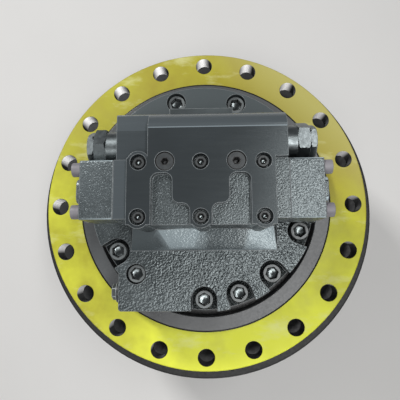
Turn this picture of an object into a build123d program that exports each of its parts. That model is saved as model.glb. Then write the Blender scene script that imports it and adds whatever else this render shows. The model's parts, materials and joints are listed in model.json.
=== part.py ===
from build123d import *

import os
from math import acos, cos, pi, radians, sin, tan

# Final drive of a crawler excavator, in millimetres.
# z = 0 is the face of the frame flange, and +Z points along the drive axis to the motor end.

# Fits and clearances
seat_clearance = 0.05  # pieces of one body that seat in each other
running_clearance = 0.08  # shafts and pins that turn in their bores
free_gap = 0.3  # faces of different bodies that pass each other
bolt_clearance = 0.5  # shank in a plain hole
gear_end_gap = 3.0  # planet to carrier plate, along the axis

# Motor case, outwards from its bore: brake bore, cover screws, neck, pilot and frame flange
motor_bore_radius = 98.0
brake_step = 14.0
cover_screw_inset = 23.6
neck_rim = 12.4
pilot_width = 45.0
pilot_height = 26.0
pilot_chamfer = 2.0
pilot_wall = 23.0
pilot_groove_depth = 24.0
frame_bolt_offset = 42.0
frame_rim = 21.0
frame_rim_chamfer = 1.5
frame_flange_thickness = 30.0
frame_bolt_count = 20
frame_hole_radius = 13.0
joint_height = 66.0

# Gear train: both stages share one ring gear
gear_module = 6.0
pressure_angle = radians(25)
addendum_factor = 0.8
dedendum_factor = 1.05
flank_relief = 0.25
sun_teeth = 12
planet_teeth = 24
ring_teeth = sun_teeth + 2 * planet_teeth
planet_count = 3
first_stage_angle = 60.0
second_stage_angle = 0.0
first_stage_width = 36.0
second_stage_width = 48.0
first_pin_radius = 20.0
second_pin_radius = 24.0
ring_wall = 41.7
ring_overhang = 4.0
carrier_rim_gap = 10.2
carrier_post_radius = 20.0
carrier_post_offset = 22.0
carrier_screw_offset = 36.0
carrier_window_gap = 5.2
upper_plate_thickness = 14.0
inner_plate_thickness = 10.0
lower_plate_thickness = 8.0
stage_gap = 4.0
sun_stub_step = 1.7
sun_bore_gap = 5.0

# Hub, inwards from the drum that it shares with the ring gear: main bearings, spindle and floating seal
hub_wall = 38.0
hub_shoulder_step = 10.0
hub_collar_step = 15.0
hub_top_gap = 6.0
drum_chamfer = 2.0
sprocket_flange_width = 57.0
sprocket_flange_thickness = 26.0
sprocket_flange_drop = 32.0
sprocket_rim = 23.0
sprocket_bolt_count = 20
sprocket_hole_radius = 11.0
bearing_section = 40.0
bearing_width = 34.0
bearing_spread = 74.0
bearing_thick_wall = 16.0
bearing_thin_wall = 10.0
bearing_flange_width = 4.0
bearing_lead = 6.0
bearing_nut_thickness = 10.0
bearing_nut_step = 22.0
spindle_shoulder_step = 13.0
seal_ring_height = 17.85
seal_ring_width = 20.0
seal_ring_offset = 12.0
seal_inner_gap = 3.0
seal_collar_gap = 2.0

# Gear cover
cover_floor_gap = 6.0
cover_floor_thickness = 22.0
cover_flange_thickness = 18.0
cover_bore_gap = 3.2
cover_bolt_inset = 21.0
cover_bolt_room = 23.0
cover_dome_foot = 8.0
cover_bolt_count = 12
cover_bolt_depth = 24.0
cover_head_across = 24.0
cover_head_height = 15.0
oil_plug_circle = 120.0
oil_plug_radius = 15.0
oil_plug_depth = 14.0
oil_plug_recess = 2.0
oil_plug_count = 3
oil_plug_hex = 14.0
thrust_pad_radius = 14.0
thrust_pad_height = 7.0
shaft_end_gap = 0.5

# Drive shaft, its bearings and its seal
shaft_tail_radius = 16.0
shaft_tail_length = 26.0
shaft_block_radius = 20.0
shaft_front_radius = 22.0
shaft_drive_radius = 18.0
rear_bearing_section = 16.0
rear_bearing_width = 22.0
front_bearing_section = 23.0
front_bearing_width = 28.0
shaft_seal_section = 16.0
shaft_seal_width = 12.0
shaft_seal_pocket = 18.0
spindle_bore_gap = 8.0

# Piston group: the swash plate is held at one angle
piston_count = 7
piston_circle_radius = 48.0
swash_angle = radians(10)
piston_radius = 13.0
piston_engagement = 30.0
piston_neck_start = 18.0
piston_neck_end = 10.0
piston_neck_radius = 4.5
piston_ball_radius = 6.0
piston_ball_flat = 3.0
piston_bore_depth = 50.0
cylinder_port_radius = 6.0
block_wall = 22.0
block_length = 80.7
valve_plate_thickness = 10.0
valve_plate_gap = 10.0
kidney_width = 14.0
kidney_sweep = 120.0
swash_case_gap = 13.0
swash_land = 12.0
swash_height = 45.0
shoe_room = 30.0
ball_height = 12.0
shoe_radius = 13.0
shoe_flange_height = 7.0
shoe_neck_radius = 9.0
shoe_height = 18.0
shoe_socket_radius = 7.0
shoe_socket_floor = 5.0
retainer_inner_rim = 16.0
retainer_outer_rim = 18.0
retainer_thickness = 4.0

# Parking brake
brake_depth = 66.0
brake_plate_thickness = 3.0
brake_disc_count = 3
brake_plate_gap = 6.0
brake_piston_height = 35.0
brake_spring_inset = 4.0
brake_spring_thickness = 3.0

# End cover with its pedestal
cover_plate_overhang = 3.0
cover_plate_thickness = 44.0
open_screw_angles = (-20.4, -48.9, -70.3, -90.0, -147.7)
closed_screw_angles = (-131.1, 70.3, 105.5, 20.0, 160.0)
screw_seat_rise = 22.0
scallop_radius = 17.0
scallop_reach = 40.0
counterbore_gap = 1.0
lug_left = -112.0
lug_right = -20.0
lug_bottom = -150.0
lug_top = -80.0
lug_round = 4.0
pedestal_height = 31.0
pedestal_half_width = 88.0
pedestal_side_slope = 8.0
pedestal_front_slope = 26.0
pedestal_front_lip = 1.0
passage_x = 48.0  # crests of the front, over the passages to the motor
passage_dip = 4.0
pedestal_back_inset = 4.0
pedestal_back_slope = 8.0
side_plug_y = -127.0
side_plug_rise = 22.0
side_plug_radius = 14.0
side_plug_head = 6.0
side_plug_across = 19.0
side_plug_reach = 12.0
side_plug_depth = 20.0
side_plug_thread_radius = 10.0

# Valve block
block_height = 75.0
block_half_width = 81.0
block_front = -45.0
block_back = 84.0
back_slope_length = 19.0
back_slope_drop = 26.0
back_slope_bulge = 5.0
shoulder_step = 14.0
block_screw_inset = 13.0
block_screw_back = 23.4
block_screw_lead = 8.4
block_lobe_radius = 12.5
block_counterbore = 11.0
block_counterbore_gap = 2.2
pocket_depth = 8.0
pocket_wall = 14.0
pocket_width = 23.0
pocket_step = 19.0
pocket_top = 11.0
pocket_jog = -22.0
pocket_round = 8.0
recess_side = 58.0
recess_depth = 12.0
port_pad_half_width = 37.0
port_pad_reach = 9.0
port_pad_height = 47.0
port_radius = 12.0
port_depth = 30.0
port_x = 19.0
port_rise = 22.0
blanking_plug_x = 39.0
blanking_plug_y = 24.0
blanking_plug_radius = 10.5
blanking_plug_length = 18.0
blanking_plug_sink = 1.0
blanking_plug_hex = 6.0

# Counterbalance spool, its caps and the relief valves
spool_y = -5.0
spool_radius = 14.0
spool_neck_radius = 9.0
spool_end_room = 13.0
spool_land_length = 26.0
spool_middle_land = 36.0
cap_boss_step = 2.0
cap_size = 66.5
cap_round = 2.5
cap_thickness = 38.0
cap_boss_gap = 2.0
cap_boss_inset = 8.25
cap_boss_round = 8.0
cap_boss_height = 6.0
cap_bore_gap = 1.0
cap_bore_depth = 28.0
cap_screw_inset = 9.25
cap_screw_depth = 18.0
spool_spring_outer = 12.0
spool_spring_inner = 8.0
relief_left_gap = 21.75
relief_right_gap = 26.75
relief_left_turn = 30.0  # the left hexagon stands with a corner upwards
relief_rise = 29.0
relief_bore_radius = 13.0
relief_bore_depth = 40.0
relief_neck_radius = 20.0
relief_neck_length = 16.0
relief_hex_across = 41.0
relief_hex_length = 15.0
relief_nut_across = 36.0
relief_nut_length = 8.0
relief_stem_radius = 8.0

# Socket head screws: head radius, shank radius and key size; a head is as high as its thread is wide
cover_screw_head = 12.0
cover_screw_shank = 8.0
cover_screw_key = 14.0
block_screw_head = 6.5
block_screw_shank = 4.0
block_screw_key = 6.0
small_screw_head = 8.0
small_screw_shank = 5.0
small_screw_key = 8.0
carrier_screw_depth = 24.0
cover_screw_depth = 24.0
block_screw_depth = 24.0
socket_share = 0.5

# Radii of the motor case
brake_bore_radius = motor_bore_radius + brake_step
cover_screw_circle = brake_bore_radius + cover_screw_inset
neck_radius = cover_screw_circle + neck_rim
cover_plate_radius = neck_radius + cover_plate_overhang
pilot_radius = neck_radius + pilot_width
pilot_inner_radius = pilot_radius - pilot_wall
frame_bolt_radius = pilot_radius + frame_bolt_offset
frame_flange_radius = frame_bolt_radius + frame_rim

# Radii of the gears, the hub and the spindle
planet_centre_radius = gear_module * (sun_teeth + planet_teeth) / 2
sun_tip = gear_module * (sun_teeth / 2 + addendum_factor)
sun_root = gear_module * (sun_teeth / 2 - dedendum_factor)
ring_tip = gear_module * (ring_teeth / 2 - addendum_factor)
ring_root = gear_module * (ring_teeth / 2 + dedendum_factor)
carrier_radius = ring_tip - carrier_rim_gap
carrier_post_circle = planet_centre_radius + carrier_post_offset
carrier_screw_circle = planet_centre_radius - carrier_screw_offset
carrier_window_radius = sun_tip + carrier_window_gap
sun_stub_radius = sun_root - sun_stub_step
sun_bore_radius = shaft_drive_radius + sun_bore_gap
drum_radius = ring_root + ring_wall
sprocket_flange_radius = drum_radius + sprocket_flange_width
sprocket_bolt_radius = sprocket_flange_radius - sprocket_rim
bearing_outer_radius = drum_radius - hub_wall
hub_shoulder_radius = bearing_outer_radius - hub_shoulder_step
hub_seal_bore_radius = bearing_outer_radius + hub_collar_step
spindle_radius = bearing_outer_radius - bearing_section
spindle_shoulder_radius = spindle_radius + spindle_shoulder_step
bearing_nut_radius = spindle_radius + bearing_nut_step
fixed_seal_inner_radius = spindle_shoulder_radius + seal_inner_gap
fixed_seal_outer_radius = fixed_seal_inner_radius + seal_ring_width
turning_seal_inner_radius = fixed_seal_inner_radius + seal_ring_offset
cover_bolt_radius = drum_radius - cover_bolt_inset
cover_dome_radius = cover_bolt_radius - cover_bolt_room
cover_bore_radius = ring_tip - cover_bore_gap

# Radii round the drive shaft
rear_bearing_radius = shaft_tail_radius + rear_bearing_section
front_bearing_radius = shaft_front_radius + front_bearing_section
shaft_seal_radius = shaft_drive_radius + shaft_seal_section
spindle_bore_radius = shaft_drive_radius + spindle_bore_gap
valve_plate_bore = shaft_tail_radius + valve_plate_gap
block_radius = piston_circle_radius + block_wall
retainer_inner_radius = piston_circle_radius - retainer_inner_rim
retainer_outer_radius = piston_circle_radius + retainer_outer_rim
swash_plate_bore = piston_circle_radius - swash_land
swash_plate_radius = motor_bore_radius - swash_case_gap
separator_inner_radius = block_radius + brake_plate_gap
friction_outer_radius = brake_bore_radius - brake_plate_gap
brake_spring_inner = separator_inner_radius + brake_spring_inset
brake_spring_outer = brake_bore_radius - brake_spring_inset

# Levels of the gear end, worked down from the frame flange
flange_back = -frame_flange_thickness
pilot_groove_floor = pilot_height - pilot_groove_depth
hub_top = flange_back - hub_top_gap
hub_ledge = flange_back - 2 * seal_ring_height - free_gap
sprocket_flange_top = flange_back - sprocket_flange_drop
upper_bearing_top = hub_ledge - bearing_lead
upper_bearing_bottom = upper_bearing_top - bearing_width
lower_bearing_top = upper_bearing_top - bearing_spread
lower_bearing_bottom = lower_bearing_top - bearing_width
spindle_end = lower_bearing_bottom - bearing_nut_thickness
second_gear_top = spindle_end - upper_plate_thickness - gear_end_gap
second_gear_bottom = second_gear_top - second_stage_width
second_carrier_bottom = second_gear_bottom - gear_end_gap - inner_plate_thickness
first_carrier_top = second_carrier_bottom - stage_gap
first_gear_top = first_carrier_top - inner_plate_thickness - gear_end_gap
first_gear_bottom = first_gear_top - first_stage_width
first_carrier_bottom = first_gear_bottom - gear_end_gap - lower_plate_thickness
ring_bottom = first_gear_bottom - ring_overhang
cover_floor = first_carrier_bottom - cover_floor_gap
cover_bottom = cover_floor - cover_floor_thickness
cover_flange_bottom = ring_bottom - cover_flange_thickness
shaft_end = cover_floor + thrust_pad_height + shaft_end_gap

# Levels of the motor end, worked down and up from the joint between case and end cover
valve_plate_bottom = joint_height - valve_plate_thickness
block_face = valve_plate_bottom - free_gap
block_mouth = block_face - block_length
ball_plane_height = block_mouth - shoe_room
motor_floor = ball_plane_height - swash_height
piston_length = block_mouth + piston_engagement - ball_plane_height
brake_ledge = joint_height - brake_depth
brake_pitch = 2 * (brake_plate_thickness + free_gap)
brake_piston_foot = brake_ledge + brake_disc_count * brake_pitch
brake_piston_top = brake_piston_foot + brake_piston_height
cover_plate_top = joint_height + cover_plate_thickness
screw_seat_height = joint_height + screw_seat_rise
side_plug_height = joint_height + side_plug_rise
block_bottom = cover_plate_top + pedestal_height
block_top = block_bottom + block_height
recess_floor = block_top - recess_depth
port_pad_top = block_bottom + port_pad_height
port_height = block_bottom + port_rise
relief_height = block_bottom + relief_rise
spool_height = block_bottom + cap_size / 2

# Plan of the pedestal and the valve block
pedestal_front = block_front - pedestal_front_lip
pedestal_back = block_back - pedestal_back_inset
passage_valley = pedestal_front + passage_dip
pedestal_foot_half_width = pedestal_half_width + pedestal_side_slope
pedestal_foot_front = pedestal_front - pedestal_front_slope
pedestal_foot_back = pedestal_back + pedestal_back_slope
block_screw_x = block_half_width - block_screw_inset
block_screw_front = block_front + block_screw_lead
pocket_outer = block_screw_x - pocket_wall
pocket_inner = pocket_outer - pocket_width
pocket_leg = pocket_inner - pocket_step
port_pad_back = block_back + port_pad_reach
shoulder_half_width = block_half_width + shoulder_step
shoulder_front = spool_y + cap_size / 2
relief_left_y = shoulder_front + relief_left_gap
relief_right_y = shoulder_front + relief_right_gap
cap_seam = shoulder_half_width + cap_boss_step
cap_outer = cap_seam + cap_thickness
cap_floor = cap_seam + cap_bore_depth
cap_bore_radius = spool_radius + cap_bore_gap
cap_screw_offset = cap_size / 2 - cap_screw_inset
cap_boss_width = 2 * (cap_screw_offset - small_screw_head - cap_boss_gap)
cap_boss_length = cap_size - 2 * cap_boss_inset
spool_half_length = cap_seam - spool_end_room

# The pistons' tilted circle, and the bores that leave room for their sway
bore_circle_radius = piston_circle_radius * (1 + cos(swash_angle)) / 2
bore_sway = piston_circle_radius * (1 - cos(swash_angle)) / 2
piston_bore_radius = piston_radius + bore_sway + free_gap
ball_plane = Plane((0, 0, ball_plane_height), (1, 0, 0), (0, -sin(swash_angle), cos(swash_angle)))
swash_plane = ball_plane.offset(-ball_height)
swash_blank_height = swash_height + swash_plate_radius * tan(swash_angle)
relief_sides = ((-1, relief_left_y, relief_left_turn), (1, relief_right_y, 0.0))
spool_axis = Axis((0, spool_y, spool_height), (1, 0, 0))
FROM_BOTTOM = (Align.CENTER, Align.CENTER, Align.MIN)
FROM_TOP = (Align.CENTER, Align.CENTER, Align.MAX)

os.makedirs("parts", exist_ok=True)


def save(piece, name):
    """Label a finished piece and write it as one STEP file."""
    piece.label = name
    export_step(piece, f"parts/{name}.step")


def around(radius, angles, height=0.0):
    """Places on a circle about the drive axis, each turned to face outwards."""
    return [
        Location((radius * cos(radians(a)), radius * sin(radians(a)), height), (0, 0, a)) for a in angles
    ]


def spaced(count, first=0.0):
    """Evenly spaced angles in degrees."""
    return [first + 360 * k / count for k in range(count)]


def half_section(points, origin=(0, 0, 0)):
    """A closed outline of (radius, height) points in the XZ plane through an origin."""
    with BuildSketch(Plane(origin, (1, 0, 0), (0, -1, 0))) as section:
        with BuildLine():
            Polyline(*points, close=True)
        make_face()
    return section.sketch


def ring_section(inner, outer, bottom, top):
    """The half section of a plain ring about the drive axis."""
    return half_section([(inner, bottom), (outer, bottom), (outer, top), (inner, top)])


def socket_screw(head_radius, shank_radius, shank_length, key):
    """A socket head screw whose head seats at its origin, with the shank down."""
    head_height = 2 * shank_radius
    with BuildPart() as screw:
        Cylinder(head_radius, head_height, align=FROM_BOTTOM)
        Cylinder(shank_radius, shank_length, align=FROM_TOP)
        with BuildSketch(Plane.XY.offset(head_height)):
            RegularPolygon(key / 2, 6, major_radius=False)
        extrude(amount=-head_height * socket_share, mode=Mode.SUBTRACT)
    return screw.part


def involute(angle):
    return tan(angle) - angle


def half_tooth(teeth, radius, relief):
    """Half the angle that an involute tooth takes up at a radius, less the relief on its flank."""
    pitch_radius = gear_module * teeth / 2
    slope = acos(min(1.0, pitch_radius * cos(pressure_angle) / radius))
    return pi / (2 * teeth) + involute(pressure_angle) - involute(slope) - relief / pitch_radius


def gear_outline(teeth, inner, outer, relief, phase=0.0):
    """The outline of a toothed wheel, with two straight steps on each involute flank."""
    radii = (inner, gear_module * teeth / 2, outer)
    flank = [(radius, half_tooth(teeth, radius, relief)) for radius in radii]
    tooth = [(radius, -half) for radius, half in flank] + [(radius, half) for radius, half in reversed(flank)]
    points = []
    for k in range(teeth):
        middle = phase + 2 * pi * k / teeth
        points += [(radius * cos(middle + turn), radius * sin(middle + turn)) for radius, turn in tooth]
    return points


def spur_gear(teeth, bottom, width, bore, centre=(0.0, 0.0), phase=0.0):
    """An external gear on an upright axis."""
    pitch_radius = gear_module * teeth / 2
    root = pitch_radius - dedendum_factor * gear_module
    tip = pitch_radius + addendum_factor * gear_module
    with BuildPart() as gear:
        with BuildSketch(Plane((*centre, bottom))):
            with BuildLine():
                Polyline(*gear_outline(teeth, root, tip, flank_relief, phase), close=True)
            make_face()
            Circle(bore, mode=Mode.SUBTRACT)
        extrude(amount=width)
    return gear.part


def planet_phase(direction):
    """The turn that sets a planet's teeth into the spaces of a sun whose tooth lies on +X."""
    return direction + pi + (direction * sun_teeth - pi) / planet_teeth


def planet_carrier(top, top_plate, window, bottom_plate, holes, pin_radius, first_angle):
    """Two plates joined by posts that stand between the planets; holes are the plates' centre holes."""
    pin_angles = spaced(planet_count, first_angle)
    post_angles = spaced(planet_count, first_angle + 180 / planet_count)
    bottom = top - top_plate - window - bottom_plate
    with BuildPart() as carrier:
        revolve(ring_section(holes[0], carrier_radius, top - top_plate, top), Axis.Z)
        revolve(ring_section(holes[1], carrier_radius, bottom, bottom + bottom_plate), Axis.Z)
        with Locations(*around(carrier_post_circle, post_angles, bottom + bottom_plate)):
            Cylinder(carrier_post_radius, window, align=FROM_BOTTOM)
        with Locations(*around(planet_centre_radius, pin_angles, bottom)):
            Cylinder(pin_radius + seat_clearance, top - bottom, align=FROM_BOTTOM, mode=Mode.SUBTRACT)
    return carrier.part


def pins(radius, bottom, top, first_angle):
    """The planet pins of one stage."""
    with BuildPart() as group:
        with Locations(*around(planet_centre_radius, spaced(planet_count, first_angle), bottom)):
            Cylinder(radius, top - bottom, align=FROM_BOTTOM)
    return group.part


# Motor case: frame flange, grooved pilot, neck and hollow spindle in one casting
front_bearing_floor = motor_floor - front_bearing_width
seal_pocket_floor = front_bearing_floor - shaft_seal_pocket
case_outline = [
    (brake_bore_radius, joint_height),
    (brake_bore_radius, brake_ledge),
    (motor_bore_radius, brake_ledge),
    (motor_bore_radius, motor_floor),
    (front_bearing_radius, motor_floor),
    (front_bearing_radius, front_bearing_floor),
    (shaft_seal_radius, front_bearing_floor),
    (shaft_seal_radius, seal_pocket_floor),
    (spindle_bore_radius, seal_pocket_floor),
    (spindle_bore_radius, spindle_end),
    (spindle_radius, spindle_end),
    (spindle_radius, upper_bearing_top),
    (spindle_shoulder_radius, upper_bearing_top),
    (spindle_shoulder_radius, flange_back),
    (frame_flange_radius - frame_rim_chamfer, flange_back),
    (frame_flange_radius, flange_back + frame_rim_chamfer),
    (frame_flange_radius, -frame_rim_chamfer),
    (frame_flange_radius - frame_rim_chamfer, 0),
    (pilot_radius, 0),
    (pilot_radius, pilot_height - pilot_chamfer),
    (pilot_radius - pilot_chamfer, pilot_height),
    (pilot_inner_radius, pilot_height),
    (pilot_inner_radius, pilot_groove_floor),
    (neck_radius, pilot_groove_floor),
    (neck_radius, joint_height),
]
cover_screw_angles = open_screw_angles + closed_screw_angles
carrier_screw_angles = spaced(planet_count, second_stage_angle + 180 / planet_count)
with BuildPart() as motor_case:
    revolve(half_section(case_outline), Axis.Z)
    with PolarLocations(frame_bolt_radius, frame_bolt_count):
        Hole(frame_hole_radius)
    with Locations(*around(cover_screw_circle, cover_screw_angles, joint_height)):
        Cylinder(cover_screw_shank + seat_clearance, cover_screw_depth, align=FROM_TOP, mode=Mode.SUBTRACT)
    with Locations(*around(carrier_screw_circle, carrier_screw_angles, spindle_end)):
        Cylinder(
            cover_screw_shank + seat_clearance, carrier_screw_depth, align=FROM_BOTTOM, mode=Mode.SUBTRACT
        )
save(motor_case.part, "motor_case")

# End cover: round plate with a square lug, screw scallops and a tapered pedestal
block_screws_at = [
    (x, y) for x in (-block_screw_x, 0, block_screw_x) for y in (block_screw_front, block_screw_back)
]
with BuildPart() as end_cover:
    with BuildSketch(Plane.XY.offset(joint_height)):
        Circle(cover_plate_radius)
        with Locations(((lug_left + lug_right) / 2, (lug_bottom + lug_top) / 2)):
            RectangleRounded(lug_right - lug_left, lug_top - lug_bottom, lug_round)
    extrude(amount=cover_plate_thickness)
    with BuildSketch(Plane.XY.offset(screw_seat_height)):
        with Locations(*around(cover_screw_circle + scallop_reach / 2, open_screw_angles)):
            SlotCenterToCenter(scallop_reach, 2 * scallop_radius)
        with Locations(*around(cover_screw_circle, closed_screw_angles)):
            Circle(cover_screw_head + counterbore_gap)
    extrude(amount=cover_plate_top - screw_seat_height, mode=Mode.SUBTRACT)
    with Locations(*around(cover_screw_circle, cover_screw_angles, joint_height)):
        Cylinder(
            cover_screw_shank + bolt_clearance,
            screw_seat_height - joint_height,
            align=FROM_BOTTOM,
            mode=Mode.SUBTRACT,
        )
    with BuildSketch(Plane.XY.offset(cover_plate_top)):
        with Locations((0, (pedestal_foot_front + pedestal_foot_back) / 2)):
            Rectangle(2 * pedestal_foot_half_width, pedestal_foot_back - pedestal_foot_front)
    with BuildSketch(Plane.XY.offset(block_bottom)):
        with BuildLine():
            Spline(
                (-pedestal_half_width, passage_valley),
                (-passage_x, pedestal_front),
                (0, passage_valley),
                (passage_x, pedestal_front),
                (pedestal_half_width, passage_valley),
            )
            Polyline(
                (pedestal_half_width, passage_valley),
                (pedestal_half_width, pedestal_back),
                (-pedestal_half_width, pedestal_back),
                (-pedestal_half_width, passage_valley),
            )
        make_face()
    loft()
    with Locations((0, 0, joint_height)):
        Cylinder(
            rear_bearing_radius + seat_clearance, rear_bearing_width, align=FROM_BOTTOM, mode=Mode.SUBTRACT
        )
        Cylinder(
            shaft_tail_radius + bolt_clearance,
            shaft_tail_length + bolt_clearance,
            align=FROM_BOTTOM,
            mode=Mode.SUBTRACT,
        )
    with Locations(*[(x, y, block_bottom) for x, y in block_screws_at]):
        Cylinder(block_screw_shank + seat_clearance, block_screw_depth, align=FROM_TOP, mode=Mode.SUBTRACT)
    with Locations(Location((lug_left, side_plug_y, side_plug_height), (0, -90, 0))):
        Cylinder(
            side_plug_thread_radius + seat_clearance, side_plug_depth, align=FROM_TOP, mode=Mode.SUBTRACT
        )
save(end_cover.part, "end_cover")

cover_screw_length = screw_seat_height - joint_height + cover_screw_depth
cover_screw = socket_screw(cover_screw_head, cover_screw_shank, cover_screw_length, cover_screw_key)
with BuildPart() as end_cover_screws:
    with Locations(*around(cover_screw_circle, cover_screw_angles, screw_seat_height)):
        add(cover_screw)
save(end_cover_screws.part, "end_cover_screws")

with BuildPart() as side_plug:
    with Locations(Location((lug_left, side_plug_y, side_plug_height), (0, -90, 0))):
        Cylinder(side_plug_thread_radius, side_plug_depth, align=FROM_TOP)
        Cylinder(side_plug_radius, side_plug_head, align=FROM_BOTTOM)
    plug_face = Plane((lug_left - side_plug_head, side_plug_y, side_plug_height), (0, 1, 0), (-1, 0, 0))
    with BuildSketch(plug_face):
        RegularPolygon(side_plug_across / 2, 6, major_radius=False)
    extrude(amount=side_plug_reach - side_plug_head)
save(side_plug.part, "side_plug")

# Valve block: machined top with cast pockets, port pad at the back and bosses for the spool caps
block_seat = block_top - block_counterbore
cap_top = spool_height + cap_size / 2
with BuildPart() as valve_block:
    with BuildSketch(Plane.XY.offset(block_bottom)):
        with Locations((0, (block_front + block_back) / 2)):
            Rectangle(2 * block_half_width, block_back - block_front)
        with Locations((0, (shoulder_front + block_back) / 2)):
            Rectangle(2 * shoulder_half_width, block_back - shoulder_front)
        with Locations(*[(x, block_screw_front) for x in (-block_screw_x, 0, block_screw_x)]):
            Circle(block_lobe_radius)
    extrude(amount=block_height)
    with BuildSketch(Plane.YZ):
        with BuildLine():
            crest = (block_back - back_slope_length, block_top)
            foot = (block_back, block_top - back_slope_drop)
            SagittaArc(foot, crest, -back_slope_bulge)
            Polyline(crest, (block_back, block_top), foot)
        make_face()
    extrude(amount=shoulder_half_width, both=True, mode=Mode.SUBTRACT)
    with BuildSketch(Plane.XY.offset(block_bottom)):
        with Locations((0, spool_y)):
            Rectangle(2 * cap_seam, cap_size)
    extrude(amount=cap_top - block_bottom)
    with BuildSketch(Plane.XY.offset(block_bottom)):
        with Locations((0, (shoulder_front + port_pad_back) / 2)):
            Rectangle(2 * port_pad_half_width, port_pad_back - shoulder_front)
    extrude(amount=port_pad_top - block_bottom)
    with BuildSketch(Plane.XY.offset(recess_floor)):
        with Locations((-(recess_side + shoulder_half_width) / 2, (shoulder_front + port_pad_back) / 2)):
            Rectangle(shoulder_half_width - recess_side, port_pad_back - shoulder_front)
        with Locations((-block_screw_x, block_screw_back)):
            Circle(block_lobe_radius, mode=Mode.SUBTRACT)
    extrude(amount=recess_depth, mode=Mode.SUBTRACT)
    with BuildSketch(Plane.XY.offset(block_top - pocket_depth)) as pockets:
        with BuildLine():
            Polyline(
                (pocket_outer, block_front - block_lobe_radius),
                (pocket_outer, pocket_top),
                (pocket_inner, pocket_top),
                (pocket_inner, pocket_jog),
                (pocket_leg, pocket_jog),
                (pocket_leg, block_front - block_lobe_radius),
                close=True,
            )
        make_face()
        fillet([v for v in pockets.vertices() if v.Y > block_front], pocket_round)
        mirror(about=Plane.YZ)
    extrude(amount=pocket_depth, mode=Mode.SUBTRACT)
    with Locations(*[(x, y, block_seat) for x, y in block_screws_at]):
        Cylinder(
            block_screw_head + block_counterbore_gap,
            block_counterbore,
            align=FROM_BOTTOM,
            mode=Mode.SUBTRACT,
        )
        Cylinder(
            block_screw_shank + bolt_clearance, block_seat - block_bottom, align=FROM_TOP, mode=Mode.SUBTRACT
        )
    with Locations(*[(side * blanking_plug_x, blanking_plug_y, block_top) for side in (-1, 1)]):
        Cylinder(
            blanking_plug_radius + seat_clearance,
            blanking_plug_sink + blanking_plug_length,
            align=FROM_TOP,
            mode=Mode.SUBTRACT,
        )
    with Locations(Location((0, spool_y, spool_height), (0, 90, 0))):
        Cylinder(spool_radius, 2 * cap_seam, mode=Mode.SUBTRACT)
    for side, y, turn in relief_sides:
        with Locations(Location((side * shoulder_half_width, y, relief_height), (0, side * 90, 0))):
            Cylinder(relief_bore_radius, relief_bore_depth, align=FROM_TOP, mode=Mode.SUBTRACT)
    for side in (-1, 1):
        with Locations(
            *[
                Location((side * cap_seam, spool_y + dy, spool_height + dz), (0, side * 90, 0))
                for dy in (-cap_screw_offset, cap_screw_offset)
                for dz in (-cap_screw_offset, cap_screw_offset)
            ]
        ):
            Cylinder(small_screw_shank + seat_clearance, cap_screw_depth, align=FROM_TOP, mode=Mode.SUBTRACT)
        with Locations(Location((side * port_x, port_pad_back, port_height), (-90, 0, 0))):
            Cylinder(port_radius, port_depth, align=FROM_TOP, mode=Mode.SUBTRACT)
save(valve_block.part, "valve_block")

block_screw_length = block_seat - block_bottom + block_screw_depth
block_screw = socket_screw(block_screw_head, block_screw_shank, block_screw_length, block_screw_key)
with BuildPart() as valve_block_screws:
    with Locations(*[(x, y, block_seat) for x, y in block_screws_at]):
        add(block_screw)
save(valve_block_screws.part, "valve_block_screws")

with BuildPart() as valve_block_plugs:
    plug_top = block_top - blanking_plug_sink
    with Locations(*[(side * blanking_plug_x, blanking_plug_y, plug_top) for side in (-1, 1)]):
        Cylinder(blanking_plug_radius, blanking_plug_length, align=FROM_TOP)
    with BuildSketch(Plane.XY.offset(plug_top)):
        with Locations((-blanking_plug_x, blanking_plug_y), (blanking_plug_x, blanking_plug_y)):
            RegularPolygon(blanking_plug_hex / 2, 6, major_radius=False)
    extrude(amount=-blanking_plug_length / 2, mode=Mode.SUBTRACT)
save(valve_block_plugs.part, "valve_block_plugs")

# Spool caps with their screws, one on each side of the valve block
cap_screws_at = [
    Location((side * cap_outer, spool_y + dy, spool_height + dz), (0, side * 90, 0))
    for side in (-1, 1)
    for dy in (-cap_screw_offset, cap_screw_offset)
    for dz in (-cap_screw_offset, cap_screw_offset)
]
with BuildPart() as spool_caps:
    for side in (-1, 1):
        with BuildSketch(Plane((side * cap_seam, spool_y, spool_height), (0, 1, 0), (side, 0, 0))):
            RectangleRounded(cap_size, cap_size, cap_round)
        extrude(amount=cap_thickness)
        with BuildSketch(Plane((side * cap_outer, spool_y, spool_height), (0, 1, 0), (side, 0, 0))):
            RectangleRounded(cap_boss_width, cap_boss_length, cap_boss_round)
        extrude(amount=cap_boss_height)
        with Locations(Location((side * cap_seam, spool_y, spool_height), (0, side * 90, 0))):
            Cylinder(cap_bore_radius, cap_bore_depth, align=FROM_BOTTOM, mode=Mode.SUBTRACT)
    with Locations(*cap_screws_at):
        Cylinder(small_screw_shank + bolt_clearance, cap_thickness, align=FROM_TOP, mode=Mode.SUBTRACT)
save(spool_caps.part, "spool_caps")

cap_screw = socket_screw(
    small_screw_head, small_screw_shank, cap_thickness + cap_screw_depth, small_screw_key
)
with BuildPart() as spool_cap_screws:
    with Locations(*cap_screws_at):
        add(cap_screw)
save(spool_cap_screws.part, "spool_cap_screws")

# Counterbalance spool: three lands and two necks along X
land_start = spool_half_length - spool_land_length
spool_land_radius = spool_radius - running_clearance
spool_outline = [
    (-spool_half_length, 0),
    (-spool_half_length, spool_land_radius),
    (-land_start, spool_land_radius),
    (-land_start, spool_neck_radius),
    (-spool_middle_land / 2, spool_neck_radius),
    (-spool_middle_land / 2, spool_land_radius),
    (spool_middle_land / 2, spool_land_radius),
    (spool_middle_land / 2, spool_neck_radius),
    (land_start, spool_neck_radius),
    (land_start, spool_land_radius),
    (spool_half_length, spool_land_radius),
    (spool_half_length, 0),
]
with BuildPart() as counterbalance_spool:
    revolve(half_section(spool_outline, (0, spool_y, spool_height)), spool_axis)
save(counterbalance_spool.part, "counterbalance_spool")

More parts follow.
